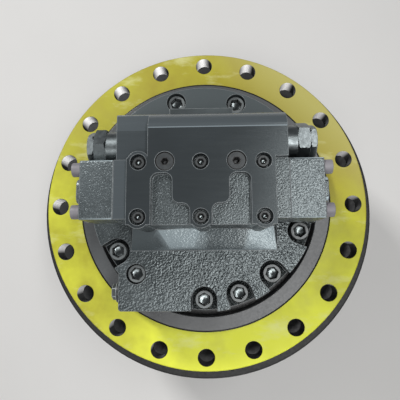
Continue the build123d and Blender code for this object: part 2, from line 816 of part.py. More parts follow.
with BuildPart() as spool_springs:
    for side in (-1, 1):
        with Locations(Location((side * spool_half_length, spool_y, spool_height), (0, side * 90, 0))):
            Cylinder(spool_spring_outer, cap_floor - spool_half_length, align=FROM_BOTTOM)
            Cylinder(
                spool_spring_inner, cap_floor - spool_half_length, align=FROM_BOTTOM, mode=Mode.SUBTRACT
            )
save(spool_springs.part, "spool_springs")

# Relief valves: cartridge with a big hexagon, and a smaller locknut on its stem
relief_hex_start = shoulder_half_width + relief_neck_length
relief_hex_end = relief_hex_start + relief_hex_length
with BuildPart() as relief_valves:
    for side, y, turn in relief_sides:
        with Locations(Location((side * shoulder_half_width, y, relief_height), (0, side * 90, 0))):
            Cylinder(relief_bore_radius - seat_clearance, relief_bore_depth, align=FROM_TOP)
            Cylinder(relief_neck_radius, relief_neck_length, align=FROM_BOTTOM)
        with BuildSketch(Plane((side * relief_hex_start, y, relief_height), (0, 1, 0), (side, 0, 0))):
            RegularPolygon(relief_hex_across / 2, 6, major_radius=False, rotation=turn)
        extrude(amount=relief_hex_length)
        with Locations(Location((side * relief_hex_end, y, relief_height), (0, side * 90, 0))):
            Cylinder(relief_stem_radius, relief_nut_length, align=FROM_BOTTOM)
save(relief_valves.part, "relief_valves")

with BuildPart() as relief_locknuts:
    for side, y, turn in relief_sides:
        with BuildSketch(Plane((side * relief_hex_end, y, relief_height), (0, 1, 0), (side, 0, 0))):
            RegularPolygon(relief_nut_across / 2, 6, major_radius=False)
            Circle(relief_stem_radius + seat_clearance, mode=Mode.SUBTRACT)
        extrude(amount=relief_nut_length)
save(relief_locknuts.part, "relief_locknuts")

# Drive shaft with the first stage sun gear on its end, its bearings and its seal
shaft_outline = [
    (0, joint_height + shaft_tail_length),
    (shaft_tail_radius, joint_height + shaft_tail_length),
    (shaft_tail_radius, valve_plate_bottom),
    (shaft_block_radius, valve_plate_bottom),
    (shaft_block_radius, motor_floor + free_gap),
    (shaft_front_radius, motor_floor + free_gap),
    (shaft_front_radius, front_bearing_floor),
    (shaft_drive_radius, front_bearing_floor),
    (shaft_drive_radius, shaft_end),
    (0, shaft_end),
]
with BuildPart() as drive_shaft:
    revolve(half_section(shaft_outline), Axis.Z)
save(drive_shaft.part, "drive_shaft")

sun_gear_1 = spur_gear(sun_teeth, first_gear_bottom, first_stage_width, shaft_drive_radius + seat_clearance)
save(sun_gear_1, "sun_gear_1")

with BuildPart() as shaft_bearings:
    revolve(
        ring_section(
            shaft_tail_radius + running_clearance,
            rear_bearing_radius,
            joint_height,
            joint_height + rear_bearing_width,
        ),
        Axis.Z,
    )
    revolve(
        ring_section(
            shaft_front_radius + running_clearance,
            front_bearing_radius - seat_clearance,
            front_bearing_floor,
            motor_floor,
        ),
        Axis.Z,
    )
save(shaft_bearings.part, "shaft_bearings")

with BuildPart() as shaft_seal:
    revolve(
        ring_section(
            shaft_drive_radius + free_gap,
            shaft_seal_radius - seat_clearance,
            seal_pocket_floor,
            seal_pocket_floor + shaft_seal_width,
        ),
        Axis.Z,
    )
save(shaft_seal.part, "shaft_seal")

# Piston group: wedge shaped swash plate, shoes under one retainer plate, pistons in the cylinder block
with BuildPart() as swash_plate:
    with Locations((0, 0, motor_floor)):
        Cylinder(swash_plate_radius, swash_blank_height, align=FROM_BOTTOM)
    split(bisect_by=swash_plane, keep=Keep.BOTTOM)
    with Locations((0, 0, motor_floor)):
        Cylinder(swash_plate_bore, swash_blank_height, align=FROM_BOTTOM, mode=Mode.SUBTRACT)
save(swash_plate.part, "swash_plate")

with BuildPart() as piston_shoes:
    with BuildSketch(swash_plane.offset(free_gap)):
        with PolarLocations(piston_circle_radius, piston_count):
            Circle(shoe_radius)
    extrude(amount=shoe_flange_height - free_gap)
    with BuildSketch(swash_plane.offset(shoe_flange_height)):
        with PolarLocations(piston_circle_radius, piston_count):
            Circle(shoe_neck_radius)
    extrude(amount=shoe_height - shoe_flange_height)
    with BuildSketch(swash_plane.offset(shoe_socket_floor)):
        with PolarLocations(piston_circle_radius, piston_count):
            Circle(shoe_socket_radius)
    extrude(amount=shoe_height - shoe_socket_floor, mode=Mode.SUBTRACT)
save(piston_shoes.part, "piston_shoes")

with BuildPart() as retainer_plate:
    with BuildSketch(swash_plane.offset(shoe_flange_height)):
        Circle(retainer_outer_radius)
        Circle(retainer_inner_radius, mode=Mode.SUBTRACT)
        with PolarLocations(piston_circle_radius, piston_count):
            Circle(shoe_neck_radius + seat_clearance, mode=Mode.SUBTRACT)
    extrude(amount=retainer_thickness)
save(retainer_plate.part, "retainer_plate")

piston_outline = [
    (0, piston_length),
    (piston_radius, piston_length),
    (piston_radius, piston_neck_start),
    (piston_neck_radius, piston_neck_end),
    (piston_ball_radius, 0),
    (piston_ball_flat, -piston_ball_radius),
    (0, -piston_ball_radius),
]
for k in range(piston_count):
    turn = 2 * pi * k / piston_count
    ball = (
        piston_circle_radius * cos(turn),
        piston_circle_radius * sin(turn) * cos(swash_angle),
        ball_plane_height + piston_circle_radius * sin(turn) * sin(swash_angle),
    )
    with BuildPart() as piston:
        revolve(half_section(piston_outline, ball), Axis(ball, (0, 0, 1)))
    save(piston.part, f"piston_{k + 1}")

with BuildPart() as cylinder_block:
    revolve(ring_section(shaft_block_radius + seat_clearance, block_radius, block_mouth, block_face), Axis.Z)
    with Locations(*around(bore_circle_radius, spaced(piston_count), block_mouth)):
        Cylinder(piston_bore_radius, piston_bore_depth, align=FROM_BOTTOM, mode=Mode.SUBTRACT)
        Cylinder(cylinder_port_radius, block_length, align=FROM_BOTTOM, mode=Mode.SUBTRACT)
save(cylinder_block.part, "cylinder_block")

with BuildPart() as valve_plate:
    with BuildSketch(Plane.XY.offset(valve_plate_bottom)):
        Circle(block_radius)
        Circle(valve_plate_bore, mode=Mode.SUBTRACT)
        for start in (-kidney_sweep / 2, 180 - kidney_sweep / 2):
            with BuildLine(mode=Mode.PRIVATE) as kidney:
                CenterArc((0, 0), bore_circle_radius, start, kidney_sweep)
            SlotArc(kidney.edge(), kidney_width, mode=Mode.SUBTRACT)
    extrude(amount=valve_plate_thickness)
save(valve_plate.part, "valve_plate")

# Parking brake: friction discs on the cylinder block between plates that are held by the case
with BuildPart() as brake_separator_plates:
    for k in range(brake_disc_count):
        foot = brake_ledge + k * brake_pitch
        revolve(
            ring_section(
                separator_inner_radius, brake_bore_radius - seat_clearance, foot, foot + brake_plate_thickness
            ),
            Axis.Z,
        )
save(brake_separator_plates.part, "brake_separator_plates")

with BuildPart() as brake_friction_discs:
    for k in range(brake_disc_count):
        foot = brake_ledge + k * brake_pitch + brake_pitch / 2
        revolve(
            ring_section(
                block_radius + seat_clearance, friction_outer_radius, foot, foot + brake_plate_thickness
            ),
            Axis.Z,
        )
save(brake_friction_discs.part, "brake_friction_discs")

with BuildPart() as brake_piston:
    revolve(
        ring_section(
            separator_inner_radius, brake_bore_radius - free_gap, brake_piston_foot, brake_piston_top
        ),
        Axis.Z,
    )
save(brake_piston.part, "brake_piston")

spring_outline = [
    (brake_spring_outer, brake_piston_top),
    (brake_spring_outer, brake_piston_top + brake_spring_thickness),
    (brake_spring_inner, joint_height),
    (brake_spring_inner, joint_height - brake_spring_thickness),
]
with BuildPart() as brake_spring:
    revolve(half_section(spring_outline), Axis.Z)
save(brake_spring.part, "brake_spring")

# Main bearings: tapered rings set back to back, with the rollers and their cage as one ring
inner_thick = spindle_radius + bearing_thick_wall
inner_thin = spindle_radius + bearing_thin_wall
outer_thick = bearing_outer_radius - bearing_thick_wall
outer_thin = bearing_outer_radius - bearing_thin_wall
bearing_ends = (
    (upper_bearing_top, upper_bearing_bottom),
    (lower_bearing_bottom, lower_bearing_top),
)
with BuildPart() as bearing_inner_rings:
    for heavy, light in bearing_ends:
        section = [
            (spindle_radius + seat_clearance, heavy),
            (inner_thick, heavy),
            (inner_thin, light),
            (spindle_radius + seat_clearance, light),
        ]
        revolve(half_section(section), Axis.Z)
save(bearing_inner_rings.part, "bearing_inner_rings")

with BuildPart() as bearing_outer_rings:
    for heavy, light in bearing_ends:
        section = [
            (bearing_outer_radius - seat_clearance, heavy),
            (outer_thin, heavy),
            (outer_thick, light),
            (bearing_outer_radius - seat_clearance, light),
        ]
        revolve(half_section(section), Axis.Z)
save(bearing_outer_rings.part, "bearing_outer_rings")

bearing_drop = (inner_thick - inner_thin) * bearing_flange_width / bearing_width
with BuildPart() as bearing_rollers:
    for heavy, light in bearing_ends:
        inset = bearing_flange_width * (light - heavy) / bearing_width
        section = [
            (inner_thick - bearing_drop + free_gap, heavy + inset),
            (outer_thin - bearing_drop - free_gap, heavy + inset),
            (outer_thick + bearing_drop - free_gap, light - inset),
            (inner_thin + bearing_drop + free_gap, light - inset),
        ]
        revolve(half_section(section), Axis.Z)
save(bearing_rollers.part, "bearing_rollers")

with BuildPart() as bearing_nut:
    revolve(
        ring_section(spindle_radius + seat_clearance, bearing_nut_radius, spindle_end, lower_bearing_bottom),
        Axis.Z,
    )
save(bearing_nut.part, "bearing_nut")

# Floating seal: one ring under the frame flange, one in the collar of the hub
with BuildPart() as fixed_seal_ring:
    revolve(
        ring_section(
            fixed_seal_inner_radius, fixed_seal_outer_radius, flange_back - seal_ring_height, flange_back
        ),
        Axis.Z,
    )
save(fixed_seal_ring.part, "fixed_seal_ring")

with BuildPart() as turning_seal_ring:
    revolve(
        ring_section(
            turning_seal_inner_radius,
            hub_seal_bore_radius - seal_collar_gap,
            hub_ledge,
            hub_ledge + seal_ring_height,
        ),
        Axis.Z,
    )
save(turning_seal_ring.part, "turning_seal_ring")

# Hub with its sprocket flange
sprocket_flange_bottom = sprocket_flange_top - sprocket_flange_thickness
hub_outline = [
    (hub_seal_bore_radius, hub_top),
    (drum_radius - drum_chamfer, hub_top),
    (drum_radius, hub_top - drum_chamfer),
    (drum_radius, sprocket_flange_top),
    (sprocket_flange_radius - drum_chamfer, sprocket_flange_top),
    (sprocket_flange_radius, sprocket_flange_top - drum_chamfer),
    (sprocket_flange_radius, sprocket_flange_bottom + drum_chamfer),
    (sprocket_flange_radius - drum_chamfer, sprocket_flange_bottom),
    (drum_radius, sprocket_flange_bottom),
    (drum_radius, spindle_end + drum_chamfer),
    (drum_radius - drum_chamfer, spindle_end),
    (bearing_outer_radius, spindle_end),
    (bearing_outer_radius, lower_bearing_top),
    (hub_shoulder_radius, lower_bearing_top),
    (hub_shoulder_radius, upper_bearing_bottom),
    (bearing_outer_radius, upper_bearing_bottom),
    (bearing_outer_radius, hub_ledge),
    (hub_seal_bore_radius, hub_ledge),
]
cover_bolt_angles = spaced(cover_bolt_count)
cover_bolt_shank = cover_screw_shank
with BuildPart() as hub:
    revolve(half_section(hub_outline), Axis.Z)
    with PolarLocations(sprocket_bolt_radius, sprocket_bolt_count, 180 / sprocket_bolt_count):
        Hole(sprocket_hole_radius)
    with Locations(*around(cover_bolt_radius, cover_bolt_angles, spindle_end)):
        Cylinder(cover_bolt_shank + seat_clearance, cover_bolt_depth, align=FROM_BOTTOM, mode=Mode.SUBTRACT)
save(hub.part, "hub")

# Ring gear between the hub and the gear cover
with BuildPart() as ring_gear:
    with BuildSketch(Plane.XY.offset(ring_bottom)):
        Circle(drum_radius)
        with BuildLine():
            Polyline(
                *gear_outline(ring_teeth, ring_tip, ring_root, -flank_relief, pi / ring_teeth), close=True
            )
        make_face(mode=Mode.SUBTRACT)
        with PolarLocations(cover_bolt_radius, cover_bolt_count):
            Circle(cover_bolt_shank + bolt_clearance, mode=Mode.SUBTRACT)
    extrude(amount=spindle_end - ring_bottom)
    chamfer(ring_gear.faces().filter_by(GeomType.CYLINDER).sort_by(SortBy.RADIUS)[-1].edges(), drum_chamfer)
save(ring_gear.part, "ring_gear")

# Gear cover, its bolts, oil plugs and thrust pad
cover_outline = [
    (0, cover_floor),
    (cover_bore_radius, cover_floor),
    (cover_bore_radius, ring_bottom),
    (drum_radius - drum_chamfer, ring_bottom),
    (drum_radius, ring_bottom - drum_chamfer),
    (drum_radius, cover_flange_bottom + drum_chamfer),
    (drum_radius - drum_chamfer, cover_flange_bottom),
    (cover_dome_radius, cover_flange_bottom),
    (cover_dome_radius - cover_dome_foot, cover_bottom),
    (0, cover_bottom),
]
oil_plugs_at = around(oil_plug_circle, spaced(oil_plug_count, 90), cover_bottom)
with BuildPart() as gear_cover:
    revolve(half_section(cover_outline), Axis.Z)
    with Locations(*around(cover_bolt_radius, cover_bolt_angles, cover_flange_bottom)):
        Cylinder(
            cover_bolt_shank + bolt_clearance,
            cover_flange_thickness,
            align=FROM_BOTTOM,
            mode=Mode.SUBTRACT,
        )
    with Locations(*oil_plugs_at):
        Cylinder(oil_plug_radius + seat_clearance, oil_plug_depth, align=FROM_BOTTOM, mode=Mode.SUBTRACT)
save(gear_cover.part, "gear_cover")

cover_bolt_length = spindle_end + cover_bolt_depth - cover_flange_bottom
with BuildPart() as cover_bolts:
    with BuildSketch(Plane.XY.offset(cover_flange_bottom)):
        with Locations(*around(cover_bolt_radius, cover_bolt_angles)):
            RegularPolygon(cover_head_across / 2, 6, major_radius=False)
    extrude(amount=-cover_head_height)
    with Locations(*around(cover_bolt_radius, cover_bolt_angles, cover_flange_bottom)):
        Cylinder(cover_bolt_shank, cover_bolt_length, align=FROM_BOTTOM)
save(cover_bolts.part, "cover_bolts")

with BuildPart() as oil_plugs:
    with Locations(*around(oil_plug_circle, spaced(oil_plug_count, 90), cover_bottom + oil_plug_recess)):
        Cylinder(oil_plug_radius, oil_plug_depth - oil_plug_recess, align=FROM_BOTTOM)
    with BuildSketch(Plane.XY.offset(cover_bottom + oil_plug_recess)):
        with Locations(*around(oil_plug_circle, spaced(oil_plug_count, 90))):
            RegularPolygon(oil_plug_hex / 2, 6, major_radius=False)
    extrude(amount=(oil_plug_depth - oil_plug_recess) * socket_share, mode=Mode.SUBTRACT)
save(oil_plugs.part, "oil_plugs")

with BuildPart() as thrust_pad:
    with Locations((0, 0, cover_floor)):
        Cylinder(thrust_pad_radius, thrust_pad_height, align=FROM_BOTTOM)
save(thrust_pad.part, "thrust_pad")

# Second stage: its carrier is screwed to the end of the spindle and stands still
second_window = second_stage_width + 2 * gear_end_gap
carrier_2 = planet_carrier(
    spindle_end,
    upper_plate_thickness,
    second_window,
    inner_plate_thickness,
    (carrier_window_radius, carrier_window_radius),
    second_pin_radius,
    second_stage_angle,
)
with BuildPart() as output_carrier:
    add(carrier_2)
    with Locations(*around(carrier_screw_circle, carrier_screw_angles, spindle_end)):
        Cylinder(
            cover_screw_shank + bolt_clearance, upper_plate_thickness, align=FROM_TOP, mode=Mode.SUBTRACT
        )
save(output_carrier.part, "carrier_2")

carrier_screw_length = upper_plate_thickness + carrier_screw_depth
carrier_screw = socket_screw(cover_screw_head, cover_screw_shank, carrier_screw_length, cover_screw_key)
with BuildPart() as carrier_2_screws:
    with Locations(*around(carrier_screw_circle, carrier_screw_angles, spindle_end - upper_plate_thickness)):
        add(carrier_screw, rotation=(180, 0, 0))
save(carrier_2_screws.part, "carrier_2_screws")

save(pins(second_pin_radius, second_carrier_bottom, spindle_end, second_stage_angle), "planet_pins_2")

# First stage: its carrier turns with the second stage sun gear
first_window = first_stage_width + 2 * gear_end_gap
carrier_1 = planet_carrier(
    first_carrier_top,
    inner_plate_thickness,
    first_window,
    lower_plate_thickness,
    (sun_stub_radius + seat_clearance, carrier_window_radius),
    first_pin_radius,
    first_stage_angle,
)
save(carrier_1, "carrier_1")
save(pins(first_pin_radius, first_carrier_bottom, first_carrier_top, first_stage_angle), "planet_pins_1")

with BuildPart() as sun_gear_2:
    add(spur_gear(sun_teeth, second_gear_bottom, second_stage_width, sun_bore_radius))
    stub_end = first_carrier_top - inner_plate_thickness
    revolve(ring_section(sun_bore_radius, sun_stub_radius, stub_end, second_gear_bottom), Axis.Z)
save(sun_gear_2.part, "sun_gear_2")

# Planets of both stages, in mesh with their sun and with the ring gear
stages = (
    ("planet_1", first_gear_bottom, first_stage_width, first_pin_radius, first_stage_angle),
    ("planet_2", second_gear_bottom, second_stage_width, second_pin_radius, second_stage_angle),
)
for stage_name, bottom, width, pin_radius, first_angle in stages:
    for letter, degrees_round in zip("abc", spaced(planet_count, first_angle)):
        direction = radians(degrees_round)
        centre = (planet_centre_radius * cos(direction), planet_centre_radius * sin(direction))
        planet = spur_gear(
            planet_teeth, bottom, width, pin_radius + running_clearance, centre, planet_phase(direction)
        )
        save(planet, f"{stage_name}_{letter}")
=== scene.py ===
import json
from math import cos, pi, radians, sin

import bmesh
import bpy
from mathutils import Matrix, Vector


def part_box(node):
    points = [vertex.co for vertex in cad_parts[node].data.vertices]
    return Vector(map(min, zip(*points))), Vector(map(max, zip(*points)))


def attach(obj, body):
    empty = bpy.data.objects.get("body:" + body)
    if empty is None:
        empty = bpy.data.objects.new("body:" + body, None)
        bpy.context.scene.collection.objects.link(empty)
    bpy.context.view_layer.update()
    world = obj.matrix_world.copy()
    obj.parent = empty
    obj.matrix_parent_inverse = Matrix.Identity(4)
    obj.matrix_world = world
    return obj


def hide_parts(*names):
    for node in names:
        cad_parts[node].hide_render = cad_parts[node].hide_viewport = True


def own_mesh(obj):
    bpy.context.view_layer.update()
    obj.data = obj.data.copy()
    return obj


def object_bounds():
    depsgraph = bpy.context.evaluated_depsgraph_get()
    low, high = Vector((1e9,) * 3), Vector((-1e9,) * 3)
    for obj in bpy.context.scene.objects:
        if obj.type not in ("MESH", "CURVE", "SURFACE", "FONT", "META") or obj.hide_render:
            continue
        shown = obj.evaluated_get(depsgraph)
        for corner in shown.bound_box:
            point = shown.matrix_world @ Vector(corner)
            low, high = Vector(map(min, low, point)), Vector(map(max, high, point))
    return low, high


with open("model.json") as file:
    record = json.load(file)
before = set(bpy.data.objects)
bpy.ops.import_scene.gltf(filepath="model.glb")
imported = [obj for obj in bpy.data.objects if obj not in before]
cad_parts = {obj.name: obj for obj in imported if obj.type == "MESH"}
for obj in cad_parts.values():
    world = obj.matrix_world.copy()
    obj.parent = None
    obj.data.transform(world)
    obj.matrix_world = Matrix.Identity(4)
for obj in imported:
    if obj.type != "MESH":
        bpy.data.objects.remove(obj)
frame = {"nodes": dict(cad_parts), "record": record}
cad_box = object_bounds()

# The motor case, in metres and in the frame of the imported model: its coated flange, the holes and the pilot
FLANGE_HOLES = 20
FLANGE_HOLE_CIRCLE = 0.235
FLANGE_HOLE_RADIUS = 0.0133
FLANGE_BACK = -0.0295
FLANGE_FACE = 0.0006
PILOT_RADIUS = 0.1925
PILOT_CHAMFER = 0.1898
PILOT_GROOVE = 0.1695

# Sums of x and y between which the painted reflection on the flange's coat, a pale sheen, grows
PAINTED_HAZE_START = 0.24
PAINTED_HAZE_END = 0.34

# How far the normals of the flange's hole walls turn up to catch the light
HOLE_LIFT = 1.8

# Widths of the broken edges, depth of the drill cones in the sockets
FINE_EDGE = 0.0005
TURNED_EDGE = 0.0012
CAST_EDGE = 0.0006
CAP_EDGE = 0.0010
HEAD_EDGE = 0.0008
PLUG_EDGE = 0.0014
SOCKET_DRILL = 0.0020

# Angles below which faces count as one, and above which an edge is broken
FLAT_ANGLE = radians(1)
EDGE_ANGLE = radians(35)

# Rounds per edge: the castings have softer ones
EDGE_STEPS = 2
CAST_STEPS = 3

# Distance under which vertices are welded
WELD = 1e-6

# The hexagons of the relief valves: side, y and z of each axis
RELIEF_AXES = ((-1, 0.050, 0.170), (1, 0.055, 0.170))

# The turned cones that break the hexagons' corners: distance from the middle and radius
HEX_CONES = (
    (0.0500, 0.0203),
    (0.1112, 0.0203),
    (0.1132, 0.0242),
    (0.1238, 0.0242),
    (0.1259, 0.0200),
    (0.1400, 0.0200),
)
NUT_CONES = (
    (0.1200, 0.0182),
    (0.1262, 0.0182),
    (0.1280, 0.0214),
    (0.1318, 0.0214),
    (0.1339, 0.0176),
    (0.1400, 0.0176),
)
LATHE_STEPS = 64

# Where the valve block is machined: a band below its top, the crest and foot of its back slope,
# its side, the back of its bosses and the side of its shelf
TOP_BAND = 0.0012
TOP_FACING = 0.85
BACK_CREST = 0.0620
BACK_FOOT = 0.1895
BLOCK_SIDE = 0.0812
BOSS_BACK = 0.0280
SHELF_SIDE = 0.0580

# Gloss and tint of the paint on the castings
PAINT_GLOSS = 1.0
PAINT_TINT = (0.88, 0.985, 1.0, 1.0)

# Slopes of the castings: the upward parts of their normals, the share of the grain that is left on them,
# and the sideways parts of the normals between which a slope goes from its facets painted in shade to its
# facets painted in light
SLANT_LOW = 0.4
SLANT_HIGH = 0.9
SLOPE_GRAIN = 0.5
SHADED_LEAN = -0.004
LIT_LEAN = 0.012

# The smoother back of the castings: where the grain fades, what is left of it, and the duller paint there
FADE_START = 0.060
FADE_END = 0.085
BACK_GRAIN = 0.12
BACK_GLOSS = 0.5
BACK_ROUGHNESS = 0.48

# From the middle to this place at the left, the grain of the end cover gets shallower
CALM_SIDE = -0.10

# Height of the seats of the end cover's screws, which are painted near black as painted shade in their
# pockets, their dull gloss, and how near counts as one height
SCREW_SEAT = 0.088
SEAT_GLOSS = 0.2
SAME_LEVEL = 0.0006

# The coil springs of the spool: wire, turns, and how finely both are drawn
SPRING_WIRE = 0.004
SPRING_TURNS = 7
TURN_STEPS = 24
WIRE_SIDES = 10

# The inputs of the surface shader that the recipes set
SOCKETS = {
    "base_color": "Base Color",
    "metallic": "Metallic",
    "roughness": "Roughness",
    "specular_ior_level": "Specular IOR Level",
    "specular_tint": "Specular Tint",
    "normal": "Normal",
}

# A turn of all the textures, so that no grain runs along the part's axes
GRAIN_TURN = (0.5, 0.7, 0.3)

# The photograph's camera: tilts of the view and the place of the lens
CAMERA_TILTS = (("Z", 0.63), ("Y", -1.93), ("X", -7.34))
CAMERA_PLACE = (0.0135, -0.0734, 0.6385)
SENSOR_WIDTH = 36.0
LENS = 36.0

# The studio: half the width of the floor, and the even light from all round
FLOOR_REACH = 4.0
WORLD_COLOUR = (0.86, 0.88, 0.92, 1.0)
WORLD_STRENGTH = 0.2

nodes = frame["nodes"]
record = frame["record"]
behaviour = record["behaviour"]
node_body = {node: body for body, members in behaviour["bodies"].items() for node in members}
node_slot = {row["node"]: row["material_slot"] for row in record["subparts"]}
block_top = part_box("valve_block")[1].z


class Recipe:
    """One procedural material: each call adds a node and gives back its output socket."""

    def __init__(self, name):
        self.material = bpy.data.materials.new(name)
        self.material.use_nodes = True
        self.tree = self.material.node_tree
        self.shader = self.tree.nodes["Principled BSDF"]
        self.place = self.node("TexCoord", {}).outputs["Object"]
        self.geometry = self.node("NewGeometry", {})

    def node(self, kind, values, **settings):
        node = self.tree.nodes.new("ShaderNode" + kind)
        for key, value in settings.items():
            setattr(node, key, value)
        for key, value in values.items():
            self.feed(node.inputs[key], value)
        return node

    def feed(self, socket, value):
        if isinstance(value, bpy.types.NodeSocket):
            self.tree.links.new(value, socket)
        else:
            socket.default_value = value

    def math(self, operation, first, second=0.0):
        return self.node("Math", {0: first, 1: second, 2: SAME_LEVEL}, operation=operation).outputs[0]

    def plus(self, first, second):
        return self.math("ADD", first, second)

    def times(self, first, second):
        return self.math("MULTIPLY", first, second)

    def either(self, first, second):
        return self.math("MAXIMUM", first, second)

    def over(self, value, level):
        return self.math("GREATER_THAN", value, level)

    def under(self, value, level):
        return self.math("LESS_THAN", value, level)

    def length(self, first, second):
        return self.math("SQRT", self.plus(self.math("POWER", first, 2.0), self.math("POWER", second, 2.0)))

    def noise(self, scale, detail=2.0, roughness=0.5, stretch=(1, 1, 1), warp=0.0, shift=(0, 0, 0)):
        turned = {"Vector": self.place, "Location": shift, "Rotation": GRAIN_TURN, "Scale": stretch}
        values = {"Scale": scale, "Detail": detail, "Roughness": roughness, "Distortion": warp}
        values["Vector"] = self.node("Mapping", turned).outputs[0]
        return self.node("TexNoise", values).outputs["Fac"]

    def span(self, value, low, high, to_low=0.0, to_high=1.0):
        values = {"Value": value, "From Min": low, "From Max": high, "To Min": to_low, "To Max": to_high}
        return self.node("MapRange", values).outputs[0]

    def mix(self, share, first, second):
        values = {0: share, 6: colour(first), 7: colour(second)}
        return self.node("Mix", values, data_type="RGBA").outputs[2]

    def blend(self, share, first, second):
        return self.node("Mix", {0: share, 2: first, 3: second}).outputs[0]

    def bump(self, height, strength, distance, normal=None):
        values = {"Height": height, "Strength": strength, "Distance": distance}
        if normal:
            values["Normal"] = normal
        return self.node("Bump", values).outputs[0]

    def lifted(self, amount):
        up = self.node("CombineXYZ", {"Z": amount}).outputs[0]
        normal = self.geometry.outputs["Normal"]
        total = self.node("VectorMath", {0: normal, 1: up}, operation="ADD").outputs[0]
        return self.node("VectorMath", {0: total}, operation="NORMALIZE").outputs[0]

    def axes(self):
        parts = self.node("SeparateXYZ", {0: self.place}).outputs
        return parts[0], parts[1], parts[2]

    def facing(self):
        parts = self.node("SeparateXYZ", {0: self.geometry.outputs["Normal"]}).outputs
        return parts[0], parts[1], parts[2]

    def surface(self, **values):
        for name, value in values.items():
            self.feed(self.shader.inputs[SOCKETS[name]], value)
        return self.material


def colour(value):
    """A socket stays as it is, and three numbers become an opaque colour."""
    return value if isinstance(value, bpy.types.NodeSocket) else (*value, 1.0)


def scaled(shade, factor):
    """A colour made darker or lighter."""
    return [factor * part for part in shade]


def cast_paint(name, dark, light, left_grain, right_grain, lump, depth, left_depth):
    """Glossy paint over a sand casting: calmer on slopes, at the left and behind, with painted light and
    shade on the slopes' facets, painted glints on the tops of the grain, and the screw seats painted black as
    painted shade.
    """
    recipe = Recipe(name)
    x, y, z = recipe.axes()
    facing = recipe.facing()
    slanted = recipe.times(recipe.over(facing[2], SLANT_LOW), recipe.under(facing[2], SLANT_HIGH))
    left_fine = recipe.noise(1 / left_grain, 0.5, 0.5, warp=0.3)
    right_fine = recipe.noise(1 / right_grain, 0.5, 0.5, warp=0.3)
    left_height = recipe.times(left_fine, left_grain / right_grain)
    fine = recipe.blend(recipe.over(x, 0.0), left_height, right_fine)
    lumps = recipe.noise(70.0, 2.0, 0.5)
    stains = recipe.noise(14.0, 3.0, 0.6)
    grain = recipe.plus(recipe.times(fine, 0.7), recipe.times(lumps, lump))
    on_slope = recipe.span(slanted, 0.0, 1.0, 1.0, SLOPE_GRAIN)
    behind = recipe.span(y, FADE_START, FADE_END, 1.0, BACK_GRAIN)
    at_left = recipe.span(x, CALM_SIDE, 0.0, left_depth, 1.0)
    height = recipe.times(recipe.times(recipe.times(grain, on_slope), behind), at_left)
    cast = recipe.mix(recipe.span(stains, 0.35, 0.7), dark, light)
    body = recipe.mix(behind, scaled(light, 1.6), cast)
    # Painted glints: the tops of the fine grain are painted paler.
    painted_glints = recipe.times(recipe.span(right_fine, 0.5, 0.7, 0.0, 0.5), behind)
    glinting_grain = recipe.mix(painted_glints, body, scaled(light, 1.7))
    # Painted light and shade on the slopes: facets facing right are painted light, facets facing left dark.
    lit_lean = recipe.span(facing[0], SHADED_LEAN, LIT_LEAN)
    facets = recipe.mix(lit_lean, scaled(light, 2.6), scaled(light, 11.0))
    faces = recipe.mix(slanted, glinting_grain, facets)
    # Painted shade: the screw seats at the bottom of their pockets are painted near black.
    shaded_seat = recipe.math("COMPARE", z, SCREW_SEAT)
    gloss = recipe.span(behind, BACK_GRAIN, 1.0, BACK_GLOSS, PAINT_GLOSS)
    return recipe.surface(
        base_color=recipe.mix(shaded_seat, faces, scaled(dark, 0.25)),
        roughness=recipe.blend(behind, BACK_ROUGHNESS, recipe.span(stains, 0.3, 0.7, 0.26, 0.34)),
        specular_ior_level=recipe.blend(shaded_seat, gloss, SEAT_GLOSS),
        specular_tint=PAINT_TINT,
        normal=recipe.bump(height, 1.0, depth),
    )


def smooth_faces(recipe):
    """Masks of the valve block's machined faces, of the paler ones among them and of the crest, where a pale
    line is painted as a highlight.
    """
    x, y, z = recipe.axes()
    up = recipe.facing()[2]
    top = recipe.times(recipe.over(z, block_top - TOP_BAND), recipe.over(up, TOP_FACING))
    behind = recipe.times(recipe.over(y, BACK_CREST), recipe.over(z, BACK_FOOT))
    beside = recipe.under(x, -BLOCK_SIDE)
    low_boss = recipe.times(beside, recipe.under(y, BOSS_BACK))
    shelf = recipe.times(recipe.under(x, -SHELF_SIDE), recipe.over(y, BOSS_BACK))
    crest = recipe.times(recipe.math("COMPARE", y, BACK_CREST), recipe.over(x, -SHELF_SIDE))
    smooth = recipe.either(recipe.either(top, shelf), recipe.either(behind, beside))
    paler = recipe.either(recipe.either(behind, low_boss), recipe.times(shelf, 0.4))
    return smooth, paler, recipe.times(crest, smooth)


